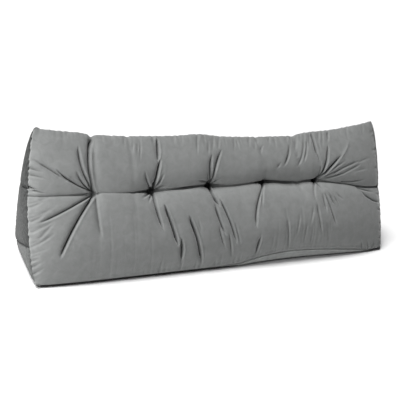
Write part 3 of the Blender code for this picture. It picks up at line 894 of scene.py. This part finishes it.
def read_vectors(mesh, name):
    """The mesh's points, "co", or the directions in which it faces there, "normal"."""
    vectors = np.empty(len(mesh.vertices) * 3)
    mesh.vertices.foreach_get(name, vectors)
    return vectors.reshape(-1, 3)


def write_points(mesh, points):
    """Moves the mesh's points to those places."""
    mesh.vertices.foreach_set("co", points.reshape(-1))
    mesh.update()


def read_values(mesh, name):
    """What the named layer keeps for each point."""
    values = np.empty(len(mesh.vertices), dtype=np.float32)
    mesh.attributes[name].data.foreach_get("value", values)
    return values.astype(float)


def cut_finer(mesh, rows):
    """Cuts the front's grid finer near its folds, crease and seams, so that they are crisp."""
    bm = bmesh.new()
    bm.from_mesh(mesh)
    along, up, on_front = (bm.verts.layers.float[layer] for layer in PLACE_LAYERS)
    for step, reach in enumerate(FINE_REACH):
        bm.verts.index_update()
        x, height, front = np.array([(v[along], v[up], v[on_front]) for v in bm.verts]).T
        if step > 0:
            rows = [(*curve, depth, width) for *curve, depth, width in rows if depth > FINE_DEPTH]
        near = fold_gap(rows, x, height) < reach
        if step == 0:
            near |= (HALF_LENGTH - np.abs(x) < FINE_SEAM) | (SLOPE - height < FINE_SEAM)
        near &= front > ON_FRONT
        edges = [edge for edge in bm.edges if near[edge.verts[0].index] and near[edge.verts[1].index]]
        bmesh.ops.subdivide_edges(bm, edges=edges, cuts=1, use_grid_fill=True)
    bm.to_mesh(mesh)
    bm.free()


def shape_front(sizes, mesh, gathers):
    """Puts the front's points on their true places, then presses in the folds and gathers, and paints shade
    in them and along the right seam, and a highlight by the left seam.
    """
    points = read_vectors(mesh, "co")
    x, up, front = (read_values(mesh, layer) for layer in PLACE_LAYERS)
    front = front > ON_FRONT
    points[front] = front_form(sizes, x[front], up[front] / SLOPE)
    write_points(mesh, points)
    normals = read_vectors(mesh, "normal")
    ease = between_seams(up / SLOPE, SEAM_EASE)
    rim = between_seams(up / SLOPE, SEAM_WIDTH / SLOPE)
    rim *= smooth_step((HALF_LENGTH - np.abs(x)) / SEAM_WIDTH)
    folds, in_folds = fold_relief(FOLDS, x, up)
    slit, in_slit = slit_relief(x, up)
    gathered, in_gathers = fold_relief(gathers, x, up)
    relief = ease * (folds + slit) + rim * gathered
    relief += BOTTOM_RIDGE * bell(up - SEAM_WIDTH, SEAM_WIDTH)
    relief *= front * sizes.fold_share
    write_points(mesh, points + relief[:, None] * normals)
    # Painted shade inside folds, slit, gathers and along the right seam; painted highlight near the left
    # seam
    inside = np.maximum(ease * np.maximum(in_folds, in_slit), rim * in_gathers) * front
    seam = bell(HALF_LENGTH - x, RIGHT_SEAM_SHADE_REACH) * front
    shade = np.maximum(inside, read_line(RIGHT_SEAM_PAINTED_SHADES, up) * seam)
    painted_highlight = LEFT_PAINTED_HIGHLIGHT * bell(x + HALF_LENGTH, LEFT_PAINTED_HIGHLIGHT_REACH) * front
    write_painted_light(mesh, shade - painted_highlight * (1 - shade))


def set_inputs(tree, node, inputs):
    """Sets the node's named inputs to values, or links them to the outputs given."""
    for name, value in inputs.items():
        if isinstance(value, bpy.types.NodeSocket):
            tree.links.new(value, node.inputs[name])
        else:
            node.inputs[name].default_value = value


def new_output(tree, kind, output, inputs=None, **settings):
    """The named output of a new node with those settings and inputs."""
    node = tree.nodes.new(kind)
    for name, value in settings.items():
        setattr(node, name, value)
    set_inputs(tree, node, inputs or {})
    return node.outputs[output]


def velvet_group():
    """Shared effect of velvet: the nap's lighter and darker patches, the painted shade and highlights from
    the point attribute, and the pile's fine relief.
    """
    group = bpy.data.node_groups.get("velvet_nap")
    if group:
        return group
    group = bpy.data.node_groups.new("velvet_nap", "ShaderNodeTree")
    for way, name, kind in (
        ("INPUT", "Colour", "Color"),
        ("INPUT", "Nap Contrast", "Float"),
        ("INPUT", "Patch Scale", "Float"),
        ("INPUT", "Pile Scale", "Float"),
        ("INPUT", "Pile Depth", "Float"),
        ("INPUT", "Painted Shade", "Float"),
        ("OUTPUT", "Colour", "Color"),
        ("OUTPUT", "Roughness", "Float"),
        ("OUTPUT", "Normal", "Vector"),
    ):
        group.interface.new_socket(name=name, in_out=way, socket_type=f"NodeSocket{kind}")
    given = group.nodes.new("NodeGroupInput").outputs
    place = new_output(group, "ShaderNodeTexCoord", "Object")
    inputs = {"Vector": place, "Scale": given["Patch Scale"]}
    inputs |= {"Detail": 5.0, "Roughness": 0.62, "Distortion": 0.6}
    patches = new_output(group, "ShaderNodeTexNoise", "Fac", inputs)
    inputs = {"Value": patches, "From Min": 0.3, "From Max": 0.7, "To Min": -1.0, "To Max": 1.0}
    spread = new_output(group, "ShaderNodeMapRange", "Result", inputs)
    tinted = scaled_colour(group, given["Colour"], spread, given["Nap Contrast"])
    # painted shade and painted highlights, from the point attribute
    painted_shade_and_highlight = new_output(group, "ShaderNodeAttribute", "Fac", attribute_name=PAINTED_LIGHT_LAYER)
    shaded = scaled_colour(group, tinted, painted_shade_and_highlight, given["Painted Shade"])
    inputs = {"Value": patches, "To Min": 0.82, "To Max": 0.95}
    rough = new_output(group, "ShaderNodeMapRange", "Result", inputs)
    inputs = {"Vector": place, "Scale": given["Pile Scale"], "Detail": 2.0}
    pile = new_output(group, "ShaderNodeTexNoise", "Fac", inputs)
    inputs = {"Height": pile, "Distance": given["Pile Depth"], "Strength": 0.5}
    bump = new_output(group, "ShaderNodeBump", "Normal", inputs)
    inputs = {"Colour": shaded, "Roughness": rough, "Normal": bump}
    set_inputs(group, group.nodes.new("NodeGroupOutput"), inputs)
    return group


def scaled_colour(tree, colour, mask, strength):
    """The colour, scaled by 1 plus the mask times the strength."""
    inputs = {0: mask, 1: strength, 2: 1.0}
    factor = new_output(tree, "ShaderNodeMath", "Value", inputs, operation="MULTIPLY_ADD")
    inputs = {0: colour, "Scale": factor}
    return new_output(tree, "ShaderNodeVectorMath", "Vector", inputs, operation="SCALE")


def velvet(name, colour, pile, painted_lift, contrast, patch_scale, sheen):
    """A matte velvet of one colour, scaled by painted_lift as painted light for its cover, with painted
    shade and highlights from its point attribute.
    """
    material = bpy.data.materials.new(name)
    material.use_nodes = True
    tree = material.node_tree
    nap = tree.nodes.new("ShaderNodeGroup")
    nap.node_tree = velvet_group()
    nap_inputs = {
        "Colour": (*[painted_lift * value for value in colour], 1.0),
        "Nap Contrast": contrast,
        "Patch Scale": patch_scale,
        "Pile Scale": PILE_SCALE,
        "Pile Depth": pile,
        "Painted Shade": -PAINTED_SHADE_STRENGTH,
    }
    set_inputs(tree, nap, nap_inputs)
    shader_inputs = {
        "Metallic": 0.0,
        "Specular IOR Level": 0.2,
        "Sheen Weight": sheen,
        "Sheen Roughness": 0.45,
        "Base Color": nap.outputs["Colour"],
        "Roughness": nap.outputs["Roughness"],
        "Normal": nap.outputs["Normal"],
    }
    set_inputs(tree, tree.nodes["Principled BSDF"], shader_inputs)
    return material


def paint_contact_shadow(material, colour, height):
    """Paints a contact shadow of that colour on the cloth below that height above the floor."""
    tree = material.node_tree
    cloth = tree.nodes["Principled BSDF"].inputs["Base Color"]
    place = new_output(tree, "ShaderNodeTexCoord", "Object")
    up = new_output(tree, "ShaderNodeSeparateXYZ", "Z", {"Vector": place})
    inputs = {"Value": up, "From Min": height - CONTACT_SHADOW_BLEND, "From Max": height + CONTACT_SHADOW_BLEND}
    above = new_output(tree, "ShaderNodeMapRange", "Result", inputs)
    inputs = {"Factor": above, "A": (*colour, 1.0), "B": cloth.links[0].from_socket}
    mixed = new_output(tree, "ShaderNodeMix", "Result", inputs, data_type="RGBA")
    tree.links.new(mixed, cloth)


def finish_piece(obj, material, node):
    """Dresses a piece, lets it ride on the frame and stand for its node."""
    obj.data.materials.append(material)
    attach(obj, "root")
    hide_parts(node)


def surface_sheet(name, across, along, place):
    """A sheet of cloth: a grid whose every point is put where place says, thickened inwards."""
    bm = bmesh.new()
    bmesh.ops.create_grid(bm, x_segments=along, y_segments=across, size=1)
    bm.verts.ensure_lookup_table()
    columns = np.array([round((v.co.x + 1) / 2 * along) for v in bm.verts])
    rows = np.array([round((v.co.y + 1) / 2 * across) for v in bm.verts])
    points = place(columns / along, rows / across)
    for vert, point in zip(bm.verts, points):
        vert.co = point
    bmesh.ops.remove_doubles(bm, verts=bm.verts, dist=MERGE_GAP)
    bmesh.ops.recalc_face_normals(bm, faces=bm.faces)
    middle = Vector((0, END_MIDDLE_Y, END_MIDDLE_Z))
    if sum((face.calc_center_median() - middle).dot(face.normal) for face in bm.faces) < 0:
        bmesh.ops.reverse_faces(bm, faces=bm.faces)
    obj = new_object(name, bm)
    body = obj.modifiers.new("Cloth", "SOLIDIFY")
    body.thickness = CLOTH
    body.offset = -1.0
    return obj


def long_panel(sizes, name, form, rows):
    """The cloth over the back or the base, from one end of the cushion to the other."""

    def place(along, over):
        x = (along - 0.5) * (LENGTH - 2 * LONG_EDGE)
        if form is base_form:
            over = 1 - (1 - over) ** BASE_ROWS_POWER
        return form(sizes, x, LONG_MARGIN + (1 - 2 * LONG_MARGIN) * over)

    return surface_sheet(name, rows, LONG_STEPS, place)


def end_rim(sizes, side):
    """The closed line of seams round one end, up the front, down the back and along the base."""
    seams = (
        (front_form, np.arange(FRONT_RIM) / FRONT_RIM),
        (back_form, np.arange(BACK_RIM) / BACK_RIM),
        (base_form, np.linspace(0.0, 1.0, BASE_RIM + 1)),
    )
    x = side * HALF_LENGTH
    return np.concatenate([form(sizes, np.full_like(t, x), t) for form, t in seams])


def end_panel(sizes, name, side):
    """The cloth over one end, from its middle to the seams round it."""
    rim = end_rim(sizes, side)

    def place(along, over):
        around = np.round(along * (len(rim) - 1)).astype(int)
        return end_points(side, rim[around], over * END_REACH, 0.0)

    obj = surface_sheet(name, END_ROWS, len(rim) - 1, place)
    if side < 0:
        shade_end(obj.data, rim)
    return obj


class WEDGE_OT_front(bpy.types.Operator):
    """Build the filled front cover with its crease, tufts and folds"""

    bl_idname = "wedge.front"
    bl_label = "Front Cover"

    def execute(self, context):
        sizes = context.scene.cushion_sizes
        look = context.scene.velvet_look
        cover = wrapped_sphere("front_cover", cushion_rings(sizes))
        gathers = gather_rows()
        cut_finer(cover.data, [*FOLDS, *gathers])
        shape_front(sizes, cover.data, gathers)
        material = velvet("front_velvet", look.front_colour, look.pile, *VELVETS["front_cover"])
        finish_piece(cover, material, "cushion")
        return {"FINISHED"}


class WEDGE_OT_panels(bpy.types.Operator):
    """Build the back, base and end panels"""

    bl_idname = "wedge.panels"
    bl_label = "Panels"

    def execute(self, context):
        sizes = context.scene.cushion_sizes
        look = context.scene.velvet_look
        for name, node, form, rows, flat in (
            ("back_cover", "back_panel", back_form, BACK_ROWS, (LENGTH, HEIGHT)),
            ("base_cover", "base_panel", base_form, BASE_ROWS, (LENGTH, DEPTH)),
        ):
            cover = long_panel(sizes, name, form, rows)
            material = velvet(f"{name}_velvet", look.panel_colour, look.pile, *VELVETS[name])
            if form is base_form:
                # painted contact shadow along the base cloth's lowest edge
                paint_contact_shadow(material, look.contact_shadow_colour, CONTACT_SHADOW_HEIGHT)
            finish_piece(cover, material, node)
        for name, node, side in (
            ("left_end_cover", "end_panel_left", -1),
            ("right_end_cover", "end_panel_right", 1),
        ):
            cover = end_panel(sizes, name, side)
            material = velvet(f"{name}_velvet", look.panel_colour, look.pile, *VELVETS[name])
            finish_piece(cover, material, node)
        return {"FINISHED"}


def lay_floor(colour):
    """A wide plain floor."""
    bm = bmesh.new()
    bmesh.ops.create_grid(bm, x_segments=1, y_segments=1, size=FLOOR_HALF_SIZE)
    floor = new_object("studio_floor", bm)
    material = bpy.data.materials.new("studio_floor")
    material.use_nodes = True
    tree = material.node_tree
    inputs = {"Base Color": (*colour, 1.0), "Roughness": FLOOR_ROUGHNESS, "Specular IOR Level": 0.0}
    set_inputs(tree, tree.nodes["Principled BSDF"], inputs)
    floor.data.materials.append(material)


def hang_light(lamp, place):
    """Hangs a light at that place, turned towards the middle of the cushion."""
    obj = bpy.data.objects.new(lamp.name, lamp)
    aim = Vector(LIT_MIDDLE) - Vector(place)
    obj.matrix_world = Matrix.Translation(place) @ aim.to_track_quat("-Z", "Y").to_matrix().to_4x4()
    bpy.context.scene.collection.objects.link(obj)


def pale_backdrop():
    """A world that shows white behind the floor but sheds little light."""
    world = bpy.data.worlds.new("studio_world")
    world.use_nodes = True
    tree = world.node_tree
    seen = new_output(tree, "ShaderNodeLightPath", "Is Camera Ray")
    inputs = {"Value": seen, "To Min": AMBIENT_STRENGTH, "To Max": BACKDROP_STRENGTH}
    strength = new_output(tree, "ShaderNodeMapRange", "Result", inputs)
    set_inputs(tree, tree.nodes["Background"], {"Color": (1, 1, 1, 1), "Strength": strength})
    return world


def place_camera(scene, lens):
    """A camera at the left, looking down on the front, and rolled."""
    camera = bpy.data.cameras.new("studio_camera")
    camera.lens = lens
    camera.sensor_width = SENSOR_WIDTH
    obj = bpy.data.objects.new("studio_camera", camera)
    turn = Matrix.Rotation(-CAMERA_TURN, 4, "Z")
    tilt = Matrix.Rotation(math.pi / 2 - CAMERA_DOWN, 4, "X")
    roll = Matrix.Rotation(CAMERA_ROLL, 4, "Z")
    obj.matrix_world = Matrix.Translation(CAMERA_PLACE) @ turn @ tilt @ roll
    scene.collection.objects.link(obj)
    scene.camera = obj


class WEDGE_OT_studio(bpy.types.Operator):
    """Build the floor, the lights and the camera"""

    bl_idname = "wedge.studio"
    bl_label = "Studio"

    def execute(self, context):
        studio = context.scene.studio_setup
        lay_floor(studio.floor_colour)
        overhead = bpy.data.lights.new("overhead_light", "SUN")
        overhead.energy = studio.overhead_strength
        overhead.angle = OVERHEAD_SPREAD
        hang_light(overhead, OVERHEAD_PLACE)
        side = bpy.data.lights.new("side_light", "AREA")
        side.shape = "SQUARE"
        side.size = SIDE_SIZE
        side.energy = studio.side_power
        hang_light(side, SIDE_PLACE)
        context.scene.world = pale_backdrop()
        context.scene.view_settings.view_transform = "Standard"
        place_camera(context.scene, studio.lens)
        return {"FINISHED"}


class WEDGE_PT_panel(bpy.types.Panel):
    """The cushion's pieces and sizes"""

    bl_idname = "WEDGE_PT_panel"
    bl_label = "Wedge Cushion"
    bl_space_type = "VIEW_3D"
    bl_region_type = "UI"
    bl_category = "Wedge Cushion"

    def draw(self, context):
        for group in (context.scene.cushion_sizes, context.scene.velvet_look, context.scene.studio_setup):
            box = self.layout.box()
            for name in group.__annotations__:
                box.prop(group, name)
        for operator in OPERATORS:
            self.layout.operator(operator.bl_idname)


OPERATORS = (WEDGE_OT_front, WEDGE_OT_panels, WEDGE_OT_studio)
CLASSES = (CushionSizes, VelvetLook, StudioSetup, *OPERATORS, WEDGE_PT_panel)


def register():
    for cls in CLASSES:
        bpy.utils.register_class(cls)
    bpy.types.Scene.cushion_sizes = bpy.props.PointerProperty(type=CushionSizes)
    bpy.types.Scene.velvet_look = bpy.props.PointerProperty(type=VelvetLook)
    bpy.types.Scene.studio_setup = bpy.props.PointerProperty(type=StudioSetup)


def unregister():
    del bpy.types.Scene.studio_setup
    del bpy.types.Scene.velvet_look
    del bpy.types.Scene.cushion_sizes
    for cls in reversed(CLASSES):
        bpy.utils.unregister_class(cls)


def main():
    register()
    bpy.ops.wedge.front()
    bpy.ops.wedge.panels()
    bpy.ops.wedge.studio()


if __name__ == "__main__":
    main()
